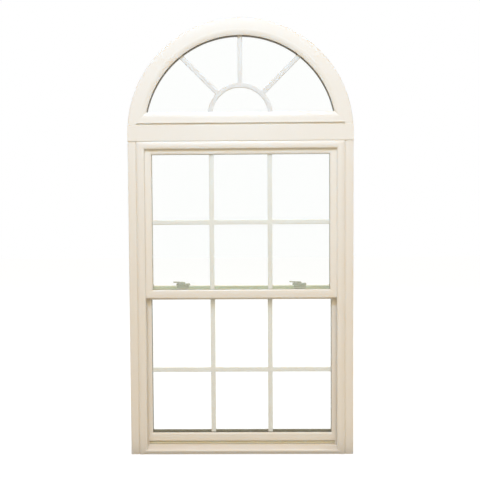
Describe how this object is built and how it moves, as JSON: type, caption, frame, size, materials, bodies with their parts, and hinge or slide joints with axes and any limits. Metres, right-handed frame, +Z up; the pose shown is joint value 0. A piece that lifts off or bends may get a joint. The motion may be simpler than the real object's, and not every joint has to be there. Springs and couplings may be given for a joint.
{
  "type": "half-round window over a double-hung window",
  "caption": "Almond vinyl half-round window with a sunburst grille, joined over a double-hung window with colonial grilles, sash locks and a sloped sill.",
  "frame": {"origin": "middle of the flat underside of the sill, midway through the frame's depth", "axes": "+X along the wall, +Y from outdoors to indoors, +Z up"},
  "size_m": [0.9144, 0.0858, 1.7779],
  "materials": {
    "vinyl": "satin",
    "glass": "clear",
    "spacer": "matte",
    "grille": "satin",
    "hardware": "satin"
  },
  "bodies": {
    "root": {"arch_base_bead": "vinyl", "arch_base_rail": "vinyl", "arch_bead": "vinyl", "arch_frame": "vinyl", "arch_inner_pane": "glass", "arch_outer_pane": "glass", "arch_spacer": "spacer", "head": "vinyl", "left_jamb": "vinyl", "left_keeper": "hardware", "left_lock_base": "hardware", "left_lock_lever": "hardware", "left_tilt_latch": "hardware", "lower_bottom_rail": "vinyl", "lower_check_rail": "vinyl", "lower_glazing_bead": "vinyl", "lower_grille": "grille", "lower_inner_pane": "glass", "lower_left_stile": "vinyl", "lower_outer_pane": "glass", "lower_right_stile": "vinyl", "lower_spacer": "spacer", "mull_cover_indoor": "vinyl", "mull_cover_outdoor": "vinyl", "right_jamb": "vinyl", "right_keeper": "hardware", "right_lock_base": "hardware", "right_lock_lever": "hardware", "right_tilt_latch": "hardware", "sill": "vinyl", "sunburst_grille": "grille", "upper_glazing_bead": "vinyl", "upper_grille": "grille", "upper_inner_pane": "glass", "upper_left_stile": "vinyl", "upper_meeting_rail": "vinyl", "upper_outer_pane": "glass", "upper_right_stile": "vinyl", "upper_spacer": "spacer", "upper_top_rail": "vinyl"}
  },
  "joints": []
}
